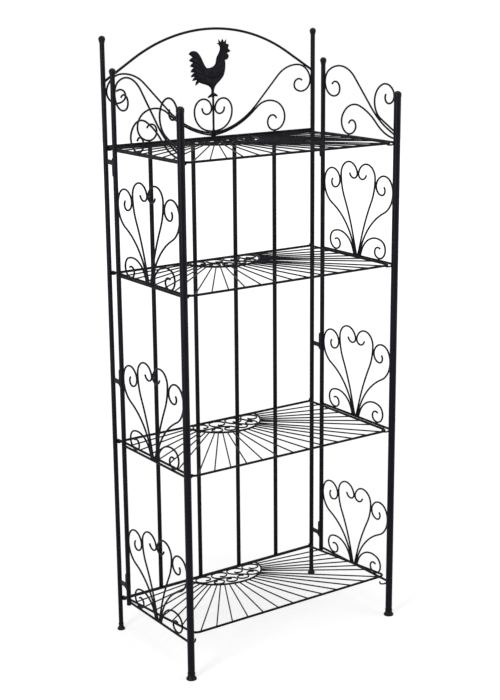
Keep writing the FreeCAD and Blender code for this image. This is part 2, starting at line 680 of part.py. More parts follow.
def medallion_scrolls():
    """Four S-scrolls inside the ring. The back row of loops fills the ring's width: the
    loops touch the pivot rod and each other, and the outer two touch the ring as well."""
    room = RING_R - RING_D / 2 - WELD_GAP
    rest = PIVOT_ROD_D / 2 + WELD_GAP
    # loop radius q from (1.5 (2q + gap))^2 + (rest + q)^2 = (room - q)^2
    b = 9 * WELD_GAP + 2 * rest + 2 * room
    c = 2.25 * WELD_GAP ** 2 + rest ** 2 - room ** 2
    back_q = (math.sqrt(b ** 2 - 36 * c) - b) / 18
    front_q = (FRONT_LOOP_PITCH - WELD_GAP) / 2
    found = []
    for place in (-1.5, -0.5, 0.5, 1.5):
        back_loop = (place * (2 * back_q + WELD_GAP), rest + back_q)
        across = place * FRONT_LOOP_PITCH
        limit = math.sqrt((room - front_q) ** 2 - across ** 2)
        front_loop = (across, min(back_loop[1] + CURL_ROW_SPACING, limit))
        found.append(s_scroll(back_loop, back_q - CURL_D / 2, front_loop, front_q - CURL_D / 2))
    return found


pivot_rod_end = at(HALF_WIDTH - PIVOT_END_INSET, Y_PIVOT, 0)
pivot_rod = rod(shelf_point(-pivot_rod_end.x, 0), pivot_rod_end, PIVOT_ROD_D)
frame = without(shelf_rod(), pivot_rod)
ring = bent_wire(SHELF_PLANE, (-RING_R, 0), 90, [turn(-180, RING_R)], RING_D)
ring = without(ring, pivot_rod)
SHELF_PIECES = (("pivot_rod", [pivot_rod]), ("frame", [frame]), ("rays", rays(frame, ring)),
                ("medallion", [ring] + medallion_scrolls()))

for number, level in enumerate(PIVOT_LEVELS, start=1):
    lift = LIFT_ANGLE if number == len(PIVOT_LEVELS) else 0
    for name, solids in SHELF_PIECES:
        placed = []
        for solid in solids:
            piece = solid.copy()
            piece.rotate(at(0, Y_PIVOT, 0), -X, lift)
            piece.translate(at(0, 0, level))
            placed.append(piece)
        save("shelf_%d_%s" % (number, name), *placed)
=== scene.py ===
# %% [markdown]
# # Dressing a folding bakers rack
#
# The rack is a welded steel display stand: a back panel, two hinged side panels and four
# sunburst shelves that swing up. The CAD frame already holds every tube, wire and fitting at
# its true size, grouped into the bodies that move. This lesson brings it into Blender and
# gives it what CAD leaves out: finishes, weld beads, a modelled rooster and a studio.

# %% Bring in the frame
import itertools
import json
import math
import random

import bmesh
import bpy
import numpy as np
from mathutils import Matrix, Vector
from mathutils.bvhtree import BVHTree
from mathutils.geometry import delaunay_2d_cdt


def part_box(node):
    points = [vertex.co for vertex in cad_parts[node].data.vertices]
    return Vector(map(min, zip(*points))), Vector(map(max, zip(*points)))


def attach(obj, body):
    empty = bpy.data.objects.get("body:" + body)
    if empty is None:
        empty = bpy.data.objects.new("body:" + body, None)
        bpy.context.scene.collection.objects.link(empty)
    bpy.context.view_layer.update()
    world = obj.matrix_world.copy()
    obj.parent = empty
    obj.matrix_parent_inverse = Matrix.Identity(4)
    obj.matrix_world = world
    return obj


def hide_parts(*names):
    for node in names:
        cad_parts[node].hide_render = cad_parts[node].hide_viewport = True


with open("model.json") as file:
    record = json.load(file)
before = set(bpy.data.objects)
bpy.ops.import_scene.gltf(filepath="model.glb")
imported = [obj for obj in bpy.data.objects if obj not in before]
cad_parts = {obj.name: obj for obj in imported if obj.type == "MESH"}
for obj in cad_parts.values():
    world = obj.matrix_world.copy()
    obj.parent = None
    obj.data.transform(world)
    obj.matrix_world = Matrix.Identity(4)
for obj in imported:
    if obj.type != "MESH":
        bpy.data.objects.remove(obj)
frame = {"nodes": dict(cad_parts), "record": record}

# Blender opens with a cube, a lamp and a camera of its own.
for leftover in ("Cube", "Light", "Camera"):
    if leftover in bpy.data.objects:
        bpy.data.objects.remove(bpy.data.objects[leftover])

MM = 0.001
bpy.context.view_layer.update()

# %% [markdown]
# ## How to build a finish from nodes
#
# Every finish here is a coat of one colour over steel or plastic, so what tells them apart is
# fine: how rough the skin is, how its tone drifts, and how its surface ripples. Image textures
# could hold that, but they need unwrapped meshes. Noise nodes read the object's own
# coordinates instead, so a ripple of two millimetres is two millimetres on every piece.
#
# `rebuild` empties a material that came with the frame and hands back its shader, `noise`
# adds one noise of a given grain, and `between` maps a value onto a range.

# %% Helpers for the node trees
NOISE_SPAN = (0.35, 0.65)       # a noise's values lie mostly between these


def rebuild(slot, specular):
    """Empties the node tree of a slot's material and gives it one fresh shader. Specular is
    how much the skin mirrors face on, where 0.5 would be a glossy paint."""
    material = bpy.data.materials[slot]
    material.use_nodes = True
    tree = material.node_tree
    tree.nodes.clear()
    output = tree.nodes.new("ShaderNodeOutputMaterial")
    shader = tree.nodes.new("ShaderNodeBsdfPrincipled")
    shader.inputs["Specular IOR Level"].default_value = specular
    tree.links.new(shader.outputs["BSDF"], output.inputs["Surface"])
    place = tree.nodes.new("ShaderNodeTexCoord")
    return tree, shader, place.outputs["Object"]


def noise(tree, place, grain, detail=2, squeeze=(1, 1, 1)):
    """A noise whose lumps are about one grain across, in metres, before they are squeezed
    along the three axes."""
    mapping = tree.nodes.new("ShaderNodeMapping")
    mapping.inputs["Scale"].default_value = squeeze
    tree.links.new(place, mapping.inputs["Vector"])
    texture = tree.nodes.new("ShaderNodeTexNoise")
    texture.inputs["Scale"].default_value = 1 / grain
    texture.inputs["Detail"].default_value = detail
    tree.links.new(mapping.outputs["Vector"], texture.inputs["Vector"])
    return texture.outputs["Fac"]


def between(tree, value, low, high, span=NOISE_SPAN):
    """Maps a value onto a range: low where the value is at the start of the span or below
    it, and high where it is at the span's end or above."""
    ranged = tree.nodes.new("ShaderNodeMapRange")
    ranged.inputs["From Min"].default_value = span[0]
    ranged.inputs["From Max"].default_value = span[1]
    ranged.inputs["To Min"].default_value = low
    ranged.inputs["To Max"].default_value = high
    tree.links.new(value, ranged.inputs["Value"])
    return ranged.outputs["Result"]


def blended(tree, share, dark, light):
    """A colour between two, by a share from 0 to 1."""
    mix = tree.nodes.new("ShaderNodeMix")
    mix.data_type = "RGBA"
    mix.inputs["A"].default_value = (*dark, 1)
    mix.inputs["B"].default_value = (*light, 1)
    tree.links.new(share, mix.inputs["Factor"])
    return mix.outputs["Result"]


def rippled(tree, shader, layers):
    """Stacks bumps, each (noise, height in metres, strength), onto the shader's normal."""
    below = None
    for height_map, height, strength in layers:
        bump = tree.nodes.new("ShaderNodeBump")
        bump.inputs["Distance"].default_value = height
        bump.inputs["Strength"].default_value = strength
        tree.links.new(height_map, bump.inputs["Height"])
        if below:
            tree.links.new(below, bump.inputs["Normal"])
        below = bump.outputs["Normal"]
    tree.links.new(below, shader.inputs["Normal"])


# %% [markdown]
# ## Powder coat on tube, wire and sheet
#
# The real coat is a satin black powder, baked on: faintly blue, never quite even, with the
# fine ripple that painters call orange peel. Thick tubes carry a broader ripple than thin
# wire does, and wire that hands and pans brush against is slightly duller. One function makes
# all three, and its arguments are the things that differ.

# %% What the three coats share
COAT_SPECULAR = 0.07
TONE_DRIFT = 70 * MM            # how wide the slow changes of tone are
GLOSS_DRIFT = 11 * MM           # how wide the changes of gloss are
DUST_GRAIN = 0.7 * MM
DUST_SPAN = (0.6, 0.8)          # only the highest lumps of a noise show as dust
PEEL_HEIGHT, PEEL_STRENGTH = 0.08 * MM, 0.5
GRIT_GRAIN, GRIT_HEIGHT, GRIT_STRENGTH = 0.5 * MM, 0.012 * MM, 0.4
print("orange peel:", round(PEEL_HEIGHT / MM, 3), "mm high")


# %% The coat itself
def powder_coat(slot, deep, thin, gloss, peel, speckle):
    """Satin powder coat. Deep and thin are the colours between which the tone drifts, gloss
    is a pair of roughnesses, peel the ripple's width, and speckle how much of the powder's
    fine dust shows."""
    tree, shader, place = rebuild(slot, COAT_SPECULAR)
    drift = between(tree, noise(tree, place, TONE_DRIFT, 3), 0, 1)
    dust = between(tree, noise(tree, place, DUST_GRAIN, 1), 0, speckle, DUST_SPAN)
    tone = tree.nodes.new("ShaderNodeMath")
    tone.operation = "ADD"
    tone.use_clamp = True
    tree.links.new(drift, tone.inputs[0])
    tree.links.new(dust, tone.inputs[1])
    tree.links.new(blended(tree, tone.outputs["Value"], deep, thin), shader.inputs["Base Color"])
    tree.links.new(between(tree, noise(tree, place, GLOSS_DRIFT, 4), *gloss),
                   shader.inputs["Roughness"])
    rippled(tree, shader, [
        (noise(tree, place, peel), PEEL_HEIGHT, PEEL_STRENGTH),
        (noise(tree, place, GRIT_GRAIN, 1), GRIT_HEIGHT, GRIT_STRENGTH)])
    print("coat:", slot, "roughness", gloss)


powder_coat("coated_tube", (0.0030, 0.0030, 0.0058), (0.0056, 0.0057, 0.0096),
            gloss=(0.34, 0.44), peel=3.0 * MM, speckle=0.25)
powder_coat("coated_wire", (0.0024, 0.0025, 0.0046), (0.0046, 0.0047, 0.0078),
            gloss=(0.38, 0.50), peel=1.6 * MM, speckle=0.35)
powder_coat("coated_sheet", (0.0019, 0.0020, 0.0040), (0.0036, 0.0038, 0.0066),
            gloss=(0.32, 0.44), peel=2.2 * MM, speckle=0.3)

# %% [markdown]
# ## Rubbed fittings and moulded plastic
#
# The hinge pins, eyes, hooks and pivot tabs wear the same coat, but steel moves on them. The
# rubbing polishes the coat in streaks and thins it to grey in places. A noise squeezed to a
# sixth of its height gives such streaks, level as the turning hinge draws them, and it steers
# both tone and gloss. The finials and feet are moulded plastic: an even black with the fine
# matt grain of the mould and no orange peel.

# %% The fittings' worn coat
COAT_BLACK, RUBBED_GREY = (0.0042, 0.0043, 0.0062), (0.021, 0.021, 0.023)
DULL, POLISHED = 0.50, 0.27     # the roughness of the coat, and of the rubbed streaks
STREAK_GRAIN, LEVEL_STREAKS = 5 * MM, (1, 1, 6)
RUBBED_SPAN = (0.58, 0.74)      # only a noise's higher lumps are rubbed
WORN_GRAIN, WORN_HEIGHT, WORN_STRENGTH = 1.3 * MM, 0.10 * MM, 0.5


def worn_coat(slot):
    """The same coat, rubbed bright and grey in level streaks."""
    tree, shader, place = rebuild(slot, specular=0.10)
    streaks = noise(tree, place, STREAK_GRAIN, 3, LEVEL_STREAKS)
    rubbed = between(tree, streaks, 0, 1, RUBBED_SPAN)
    tree.links.new(blended(tree, rubbed, COAT_BLACK, RUBBED_GREY), shader.inputs["Base Color"])
    tree.links.new(between(tree, streaks, DULL, POLISHED), shader.inputs["Roughness"])
    rippled(tree, shader, [(noise(tree, place, WORN_GRAIN), WORN_HEIGHT, WORN_STRENGTH)])
    print("worn coat:", slot, "roughness", (DULL, POLISHED))


worn_coat("coated_fittings")

# %% The caps' moulded plastic
PLASTIC_TONES = (0.0040, 0.0040, 0.0052), (0.0062, 0.0062, 0.0078)
PLASTIC_GLOSS = (0.30, 0.40)    # the roughnesses between which the plastic drifts
FLOW_GRAIN, SHEEN_GRAIN = 18 * MM, 3 * MM       # how wide its tone and its gloss drift
MOULD_GRAIN, MOULD_HEIGHT, MOULD_STRENGTH = 0.35 * MM, 0.03 * MM, 0.45


def moulded_plastic(slot):
    """Black plastic, as it comes from the mould."""
    tree, shader, place = rebuild(slot, specular=0.10)
    flow = between(tree, noise(tree, place, FLOW_GRAIN), 0, 1)
    tree.links.new(blended(tree, flow, *PLASTIC_TONES), shader.inputs["Base Color"])
    tree.links.new(between(tree, noise(tree, place, SHEEN_GRAIN), *PLASTIC_GLOSS),
                   shader.inputs["Roughness"])
    rippled(tree, shader, [
        (noise(tree, place, MOULD_GRAIN, 1), MOULD_HEIGHT, MOULD_STRENGTH)])
    print("plastic:", slot, "roughness", PLASTIC_GLOSS)


moulded_plastic("black_plastic")

# %% [markdown]
# ## The rooster as a relief
#
# The rooster is a small figure of sheet steel. It is shown rounded on both faces, with a
# swelling wing and feathers that part towards the tail, where CAD has a flat plate. Sculpting
# by hand would lose the outline, so the relief grows out of the plate itself: its front face
# gives the outline, points are scattered evenly inside, and each one rises by how far it
# stands from the edge, as dough does. Grooves are then pressed in along a few curves.

# %% Read the outline off the plate
SAME_PLACE = 0.001 * MM         # corners nearer than this are merged
FORWARD = -0.99                 # a normal whose y is less than this points forward


def outline_of(node):
    """The ordered corners of a plate's front face, as (x, z)."""
    plate = bmesh.new()
    plate.from_mesh(frame["nodes"][node].data)
    bmesh.ops.remove_doubles(plate, verts=plate.verts, dist=SAME_PLACE)
    front = {face for face in plate.faces if face.normal.y < FORWARD}
    after = {}
    for face in front:
        for loop in face.loops:
            if sum(other in front for other in loop.edge.link_faces) == 1:
                after[loop.vert.index] = loop.link_loop_next.vert.index
    start = min(after)
    order, here = [start], after[start]
    while here != start:
        order.append(here)
        here = after[here]
    plate.verts.ensure_lookup_table()
    outline = np.array([(plate.verts[i].co.x, plate.verts[i].co.z) for i in order])
    plate.free()
    return outline


rooster_outline = outline_of("rooster")
plate_low, plate_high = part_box("rooster")
print("outline of", len(rooster_outline), "corners")

# %% Measure from an outline
TINY = 1e-18                    # stands in for a zero that would be divided by


def distance_to(points, path, closed=False):
    """How far each point is from a path of straight pieces."""
    ends = np.vstack([path, path[:1]]) if closed else path
    a, b = ends[:-1], ends[1:]
    along = b - a
    from_a = points[:, None, :] - a[None]
    length_squared = np.maximum((along ** 2).sum(1), TINY)
    share = np.clip((from_a * along[None]).sum(2) / length_squared, 0, 1)
    foot = from_a - share[..., None] * along[None]
    return np.sqrt((foot ** 2).sum(2)).min(1)


def inside(points, path):
    """Whether each point is inside a closed path."""
    x, z = points[:, 0:1], points[:, 1:2]
    a, b = path, np.roll(path, -1, axis=0)
    spans = (a[:, 1] > z) != (b[:, 1] > z)
    rise = np.where(b[:, 1] == a[:, 1], TINY, b[:, 1] - a[:, 1])
    crossing = a[:, 0] + (z - a[:, 1]) / rise * (b[:, 0] - a[:, 0])
    return ((spans & (x < crossing)).sum(1) % 2) == 1


# %% Scatter points inside it
POINT_PITCH = 1.1 * MM
EDGE_CLEARANCE = 0.45 * POINT_PITCH     # points nearer the outline would make slivers

low, high = rooster_outline.min(0), rooster_outline.max(0)
rows = np.arange(low[1], high[1], POINT_PITCH * math.sqrt(3) / 2)
grid = np.array([(x + (row % 2) * POINT_PITCH / 2, z) for row, z in enumerate(rows)
                 for x in np.arange(low[0], high[0], POINT_PITCH)])
grid = grid[inside(grid, rooster_outline)]
grid = grid[distance_to(grid, rooster_outline, closed=True) > EDGE_CLEARANCE]
print("points inside:", len(grid))

# %% [markdown]
# The grooves and swellings are placed in millimetres from the top of the rooster's stem, where
# it meets the lowest edge of the plate. Each groove is a bent line with a width and a depth;
# each swelling is an oval that rises smoothly to its middle.

# %% Feathers and wing
STEM_TOP = Vector((0.0, 0.0, 1.471))
GROOVES = [
    # (points of the line, width, depth), all in millimetres
    ([(-70, 121), (-58, 120), (-46, 108), (-36, 92), (-27, 79)], 1.2, 0.9),
    ([(-64, 110), (-52, 108), (-40, 94), (-29, 76)], 1.3, 1.1),
    ([(-63, 96), (-52, 95), (-42, 84), (-29, 69)], 1.3, 1.1),
    ([(-61, 83), (-50, 81), (-40, 72), (-28, 62)], 1.3, 1.0),
    ([(-59, 70), (-49, 68), (-38, 61), (-27, 55)], 1.2, 1.0),
    ([(-57, 59), (-47, 57), (-36, 52), (-26, 48)], 1.2, 0.9),
    ([(-51, 50), (-43, 49), (-34, 46)], 1.1, 0.8),
    ([(27, 140), (31, 126), (28, 110), (20, 96)], 1.0, 0.8),
    ([(35, 138), (37, 122), (34, 104), (27, 88)], 1.0, 0.8),
    ([(26, 126), (23, 112), (17, 100), (11, 88)], 1.0, 0.7),
    ([(39, 92), (28, 82), (14, 78), (0, 77)], 1.3, 0.9),
    ([(29, 73), (20, 59), (4, 51), (-12, 53), (-25, 61)], 1.4, 1.1),
    ([(18, 65), (2, 60), (-15, 61)], 1.0, 0.7),
    ([(21, 71), (4, 68), (-14, 68)], 1.0, 0.7),
]
SWELLINGS = [
    # (middle, half length, half width, turn in degrees, height), in millimetres
    ((5, 65), 24, 12, 6, 1.6),
    ((29, 74), 13, 20, 0, 1.0),
    ((41, 128), 9, 12, 0, 0.8),
    ((-12, 42), 13, 9, 10, 0.8),
]
print("grooves:", len(GROOVES), "swellings:", len(SWELLINGS))

# %% How high the relief stands
RIM, FULL = 0.7 * MM, 3.6 * MM      # half the thickness at the edge, and well inside
SHOULDER = 9 * MM                   # how far from the edge it is full
GROOVE_FADE = 2 * MM                # grooves get shallower this near the edge
SWELLING_CURVE = 1.3                # above 1, so that a swelling's foot runs out softly


def bent(points):
    """A path of millimetre points, rounded by cutting its corners twice."""
    path = np.array(points, float)
    for _ in range(2):
        near = path[:-1] * 0.75 + path[1:] * 0.25
        far = path[:-1] * 0.25 + path[1:] * 0.75
        path = np.vstack([path[:1], np.stack([near, far], 1).reshape(-1, 2), path[-1:]])
    return path


def rooster_height(points):
    """Half the rooster's thickness at each point."""
    edge = distance_to(points, rooster_outline, closed=True)
    share = np.clip(edge / SHOULDER, 0, 1)
    height = RIM + (FULL - RIM) * np.sqrt(1 - (1 - share) ** 2)
    local = (points - np.array([STEM_TOP.x, STEM_TOP.z])) / MM
    for (x, z), length, width, turn, rise in SWELLINGS:
        c, s = math.cos(math.radians(turn)), math.sin(math.radians(turn))
        across = (local[:, 0] - x) * c + (local[:, 1] - z) * s
        up = (local[:, 1] - z) * c - (local[:, 0] - x) * s
        spot = np.clip(1 - (across / length) ** 2 - (up / width) ** 2, 0, 1)
        height += rise * MM * spot ** SWELLING_CURVE * share
    for line, width, depth in GROOVES:
        away = distance_to(local, bent(line))
        height -= depth * MM * np.exp(-(away / width) ** 2) * np.clip(edge / GROOVE_FADE, 0, 1)
    return np.maximum(height, RIM)


# %% Helpers for new pieces
def smooth_mesh(name, corners, faces):
    """A closed mesh with smooth shading, its faces outward and no loose corners."""
    mesh = bpy.data.meshes.new(name)
    mesh.from_pydata(corners, [], faces)
    work = bmesh.new()
    work.from_mesh(mesh)
    bmesh.ops.recalc_face_normals(work, faces=work.faces)
    loose = [vert for vert in work.verts if not vert.link_faces]
    bmesh.ops.delete(work, geom=loose, context="VERTS")
    work.to_mesh(mesh)
    work.free()
    mesh.shade_smooth()
    return mesh


def placed(name, data):
    """A new object in the scene, at its origin."""
    thing = bpy.data.objects.new(name, data)
    bpy.context.scene.collection.objects.link(thing)
    return thing


# %% Grow the relief
KEEP_INSIDE, JOIN_WITHIN = 1, 1e-7      # how the points are joined into triangles


def relief(name, outline, grid, middle_y, height_at):
    """A closed figure, rounded on both faces, over an outline and the points inside it."""
    points = np.vstack([outline, grid])
    rim_edges = [(i, (i + 1) % len(outline)) for i in range(len(outline))]
    joined, _, triangles, _, _, _ = delaunay_2d_cdt(
        [Vector(point) for point in points], rim_edges, [], KEEP_INSIDE, JOIN_WITHIN)
    flat = np.array([(point.x, point.y) for point in joined])
    height, count = height_at(flat), len(flat)
    front = [(x, middle_y - h, z) for (x, z), h in zip(flat, height)]
    back = [(x, middle_y + h, z) for (x, z), h in zip(flat, height)]
    sides = {}
    for a, b, c in triangles:
        for side in ((a, b), (b, c), (c, a)):
            sides[side] = True
    border = [(a, b) for a, b in sides if (b, a) not in sides]
    faces = [tuple(triangle) for triangle in triangles]
    faces += [tuple(count + i for i in reversed(triangle)) for triangle in triangles]
    faces += [(b, a, count + a, count + b) for a, b in border]
    return placed(name, smooth_mesh(name, front + back, faces))


rooster_middle = (plate_low.y + plate_high.y) / 2
rooster = relief("rooster_relief", rooster_outline, grid, rooster_middle, rooster_height)
rooster.data.materials.append(bpy.data.materials["coated_sheet"])
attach(rooster, "back_panel")
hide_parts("rooster")
print("rooster:", len(rooster.data.polygons), "faces")

# %% [markdown]
# ## Weld beads
#
# Every wire of the rack is welded where it meets another, and the coat runs over the beads.
# The frame has none, and placing some four hundred by hand would be slow and uneven. So the
# script finds their places by measuring each solid of a body against its neighbours. Where
# the end of one is cut to fit the other, the rim of the cut is a loop, and a thin rippled roll
# along it is the bead. Where two wires only lie side by side, one long drop between them is
# the tack that holds them.
#
# A node can hold many solids in one mesh, so they are taken apart first. The plastic caps have
# no welds, the rooster's plate is replaced, and the tabs get none because the pivot rods turn
# close beside them.

# %% Split the bodies into solids
SAME_CORNER = 0.01 * MM         # corners that round to one step of this are the same
UNWELDED = ("finials", "foot", "feet", "rooster", "pivot_tabs")     # how these nodes' names end


class Solid:
    """One closed piece: its corners, its surface and its box."""

    def __init__(self, corners, faces):
        self.corners = corners
        self.surface = BVHTree.FromPolygons(corners.tolist(), faces)
        self.low, self.high = corners.min(0), corners.max(0)


def solids_of(node):
    """The separate closed pieces of a node: corners joined by faces carry one label."""
    mesh = frame["nodes"][node].data
    corners = np.empty(len(mesh.vertices) * 3)
    mesh.vertices.foreach_get("co", corners)
    corners = corners.reshape(-1, 3)
    _, first, merged = np.unique(np.round(corners / SAME_CORNER).astype(np.int64), axis=0,
                                 return_index=True, return_inverse=True)
    merged = merged.ravel().tolist()
    faces = [[merged[i] for i in face.vertices] for face in mesh.polygons]
    links = np.array([(face[0], other) for face in faces for other in face[1:]])
    label, before = np.arange(len(first)), None
    while before is None or (label != before).any():
        before = label.copy()
        lowest = np.minimum(label[links[:, 0]], label[links[:, 1]])
        np.minimum.at(label, links[:, 0], lowest)
        np.minimum.at(label, links[:, 1], lowest)
        label = label[label]
    grouped = {}
    for face in faces:
        grouped.setdefault(int(label[face[0]]), []).append(face)
    solids = []
    for own_faces in grouped.values():
        own = sorted({i for face in own_faces for i in face})
        number = {i: k for k, i in enumerate(own)}
        solids.append(Solid(corners[first[own]],
                            [[number[i] for i in face] for face in own_faces]))
    return solids


body_solids = {}
for body, nodes in frame["record"]["behaviour"]["bodies"].items():
    body_solids[body] = [solid for node in nodes if not node.endswith(UNWELDED)
                         for solid in solids_of(node)]
print("solids:", {body: len(solids) for body, solids in body_solids.items()})

# %% [markdown]
# A cut end all but touches what it was cut to fit, while wires that lie side by side keep a
# quarter of a millimetre. Two distances therefore tell them apart. The corners of one meeting
# lie together, so grouping them by distance gives one bead for each meeting.

# %% Find the corners near another solid
CUT_TO_FIT = 0.15 * MM          # corners nearer than this belong to a cut end
SIDE_BY_SIDE = 0.5 * MM         # corners nearer than this belong to wires that lie together
CORNER, SPOT, NORMAL, GAP = slice(0, 3), slice(3, 6), slice(6, 9), 9     # columns of a row


def near_corners(one, other):
    """A row for each corner of one solid close to another: the corner, the nearest spot on
    the other, the normal there and the gap between the two."""
    within = ((one.corners > other.low - SIDE_BY_SIDE)
              & (one.corners < other.high + SIDE_BY_SIDE)).all(1)
    rows = []
    for corner in one.corners[within]:
        spot, normal, _, gap = other.surface.find_nearest(Vector(corner), SIDE_BY_SIDE)
        if spot is not None:
            rows.append((*corner, *spot, *normal, gap))
    return np.array(rows).reshape(-1, GAP + 1)


def clusters(points, link):
    """Groups of points, as index arrays, in which each is within link of another."""
    close = np.linalg.norm(points[:, None] - points[None], axis=2) < link
    label, before = np.arange(len(points)), None
    while before is None or (label != before).any():
        before = label
        label = np.where(close, label[None], len(points)).min(1)
    return [np.flatnonzero(label == first) for first in np.unique(label)]


# %% Find where the solids meet
END_REACH = 4 * MM              # corners of one cut end are linked by less than this
END_CORNERS = 8                 # a group of fewer corners is no cut end
TACK_REACH = 8 * MM             # corners of one tack are linked by less than this


def cut_ends_in(near):
    """The rows that belong to cut ends, in one array for each end."""
    cut = near[near[:, GAP] < CUT_TO_FIT]
    groups = clusters(cut[:, CORNER], END_REACH) if len(cut) else []
    return [cut[group] for group in groups if len(group) >= END_CORNERS]


def meetings(solids):
    """Cut ends, as (corners, normal), and tacks, as (place, normal)."""
    cut_ends, tacks = [], []
    for one, other in itertools.combinations(solids, 2):
        if ((one.low > other.high + SIDE_BY_SIDE) | (other.low > one.high + SIDE_BY_SIDE)).any():
            continue
        both = near_corners(one, other), near_corners(other, one)
        middles = []
        for end in sorted(cut_ends_in(both[0]) + cut_ends_in(both[1]), key=len, reverse=True):
            middle = end[:, CORNER].mean(0)
            if all(np.linalg.norm(middle - kept) > END_REACH for kept in middles):
                middles.append(middle)
                cut_ends.append((end[:, CORNER], end[:, NORMAL].mean(0)))
        near = np.vstack(both)
        if len(near) and not middles:
            for group in clusters(near[:, CORNER], TACK_REACH):
                closest = near[group[near[group, GAP].argmin()]]
                tacks.append(((closest[CORNER] + closest[SPOT]) / 2, closest[NORMAL]))
    return cut_ends, tacks


body_meetings = {body: meetings(solids) for body, solids in body_solids.items()}
for body, (cut_ends, tacks) in body_meetings.items():
    print(body, "cut ends:", len(cut_ends), "tacks:", len(tacks))

# %% [markdown]
# A bead is a row of rings. The rings of a roll follow the rim of the cut: seen along its
# normal, the outermost corner in each of twenty sectors. New points are then spaced evenly
# along that loop, because the corners of a fitted cut crowd together in places. Chance makes
# each ring a little thicker or thinner, as a hand-held torch does.

# %% A roll round a cut end
SECTORS = 20
RIM_STEP, FEWEST_RINGS = 1.2 * MM, 10
ROLL_SIDES, SLIMMEST_ROLL = 6, 0.4 * MM
ROLL_RIPPLE = (0.88, 1.1)       # the least and most of a ring's radius, as shares


def unit(direction):
    """The same direction, one long."""
    return direction / np.linalg.norm(direction)


def ring(middle, size, out, up, sides):
    """Corners round a middle, in the plane of two directions."""
    angles = [2 * math.pi * side / sides for side in range(sides)]
    return [middle + size * (math.cos(a) * out + math.sin(a) * up) for a in angles]


def rim_of(corners, normal):
    """A cut end's middle, and points spaced evenly along its rim."""
    middle = corners.mean(0)
    across = np.array(Vector(normal).orthogonal().normalized())
    up = np.cross(unit(normal), across)
    x, y = (corners - middle) @ across, (corners - middle) @ up
    reach, sector = np.hypot(x, y), np.floor(np.arctan2(y, x) / (2 * math.pi) * SECTORS)
    rim = []
    for number in np.unique(sector):
        own = np.flatnonzero(sector == number)
        rim.append(corners[own[reach[own].argmax()]])
    closed = np.array(rim + rim[:1])
    along = np.append(0, np.cumsum(np.linalg.norm(np.diff(closed, axis=0), axis=1)))
    count = max(FEWEST_RINGS, round(along[-1] / RIM_STEP))
    stops = np.linspace(0, along[-1], count, endpoint=False)
    return middle, np.stack([np.interp(stops, along, closed[:, k]) for k in range(3)], 1)


def roll(corners, normal, fullness, chance):
    """A rippled roll of weld round a cut end: its rings, and True because the last one joins
    the first. Fullness is the roll's radius as a share of the rim's."""
    middle, rim = rim_of(corners, normal)
    radius = max(fullness * np.linalg.norm(rim - middle, axis=1).mean(), SLIMMEST_ROLL)
    rings = []
    for point, tangent in zip(rim, np.roll(rim, -1, 0) - np.roll(rim, 1, 0)):
        along, outward = unit(tangent), point - middle
        outward = unit(outward - along * (outward @ along))
        rings.append(ring(point, radius * chance.uniform(*ROLL_RIPPLE), outward,
                          np.cross(along, outward), ROLL_SIDES))
    return rings, True


# %% A drop between two wires
DROP_HALF_LENGTH, DROP_HALF_WIDTH, DROP_HALF_HEIGHT = 3.4 * MM, 1.1 * MM, 2.0 * MM
DROP_RINGS, DROP_SIDES = 7, 8
TIP = 0.25                      # how far the first ring is from the tip, in steps
DROP_LENGTHS, DROP_RIPPLE = (0.85, 1.15), (0.94, 1.06)      # the least and most, as shares


def drop(place, normal, thin, chance):
    """A long drop of weld in the groove between two wires: its rings from tip to tip, and
    False because its ends don't join. Thin is the way in which the body is thinnest."""
    across = unit(normal) * DROP_HALF_WIDTH
    along = unit(np.cross(across, thin))
    up = np.cross(along, across) / np.linalg.norm(across) * DROP_HALF_HEIGHT
    length = DROP_HALF_LENGTH * chance.uniform(*DROP_LENGTHS)
    rings = []
    for number in range(DROP_RINGS):
        turned = math.pi * (number + TIP) / (DROP_RINGS - 1 + 2 * TIP)
        size = math.sin(turned) * chance.uniform(*DROP_RIPPLE)
        middle = place - along * length * math.cos(turned)
        rings.append(ring(middle, size, across, up, DROP_SIDES))
    return rings, False


# %% [markdown]
# The rings of each roll and drop become faces between neighbouring rings. All the beads of a
# body share one mesh, because they never move apart, and it rides on that body. A drop lies
# along its wires: square to the line between them, and in the plane of its flat panel or
# shelf, which is square to the direction in which the body is thinnest. The shelves get
# slimmer rolls, because the ends of a shelf's rod turn close to the tabs that carry it.

# %% Join rings into beads
def thinnest_way(solids):
    """The direction in which a body is thinnest."""
    corners = np.vstack([solid.corners for solid in solids])
    _, axes = np.linalg.eigh(np.cov((corners - corners.mean(0)).T))
    return axes[:, 0]


def mesh_of(name, shapes):
    """One smooth mesh of many shapes, each made of rings that are joined in turn."""
    corners, faces = [], []
    for rings, closed in shapes:
        first, sides = len(corners), len(rings[0])
        last = first + (len(rings) - 1) * sides
        corners += [tuple(corner) for ring_corners in rings for corner in ring_corners]
        for number in range(len(rings) if closed else len(rings) - 1):
            here = first + number * sides
            there = first + (number + 1) % len(rings) * sides
            faces += [(here + i, here + (i + 1) % sides, there + (i + 1) % sides, there + i)
                      for i in range(sides)]
        if not closed:
            faces += [tuple(range(first, first + sides)), tuple(range(last, last + sides))]
    return smooth_mesh(name, corners, faces)


# %% Lay the beads
SHELF_FULLNESS, PANEL_FULLNESS = 0.13, 0.28

chance = random.Random(7)
for body, (cut_ends, tacks) in body_meetings.items():
    thin = thinnest_way(body_solids[body])
    fullness = SHELF_FULLNESS if body.startswith("shelf") else PANEL_FULLNESS
    shapes = [roll(corners, normal, fullness, chance) for corners, normal in cut_ends]
    shapes += [drop(place, normal, thin, chance) for place, normal in tacks]
    welds = placed(body + "_welds", mesh_of(body + "_welds", shapes))
    welds.data.materials.append(bpy.data.materials["coated_wire"])
    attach(welds, body)
    print(welds.name, "has", len(shapes), "beads and", len(welds.data.polygons), "faces")

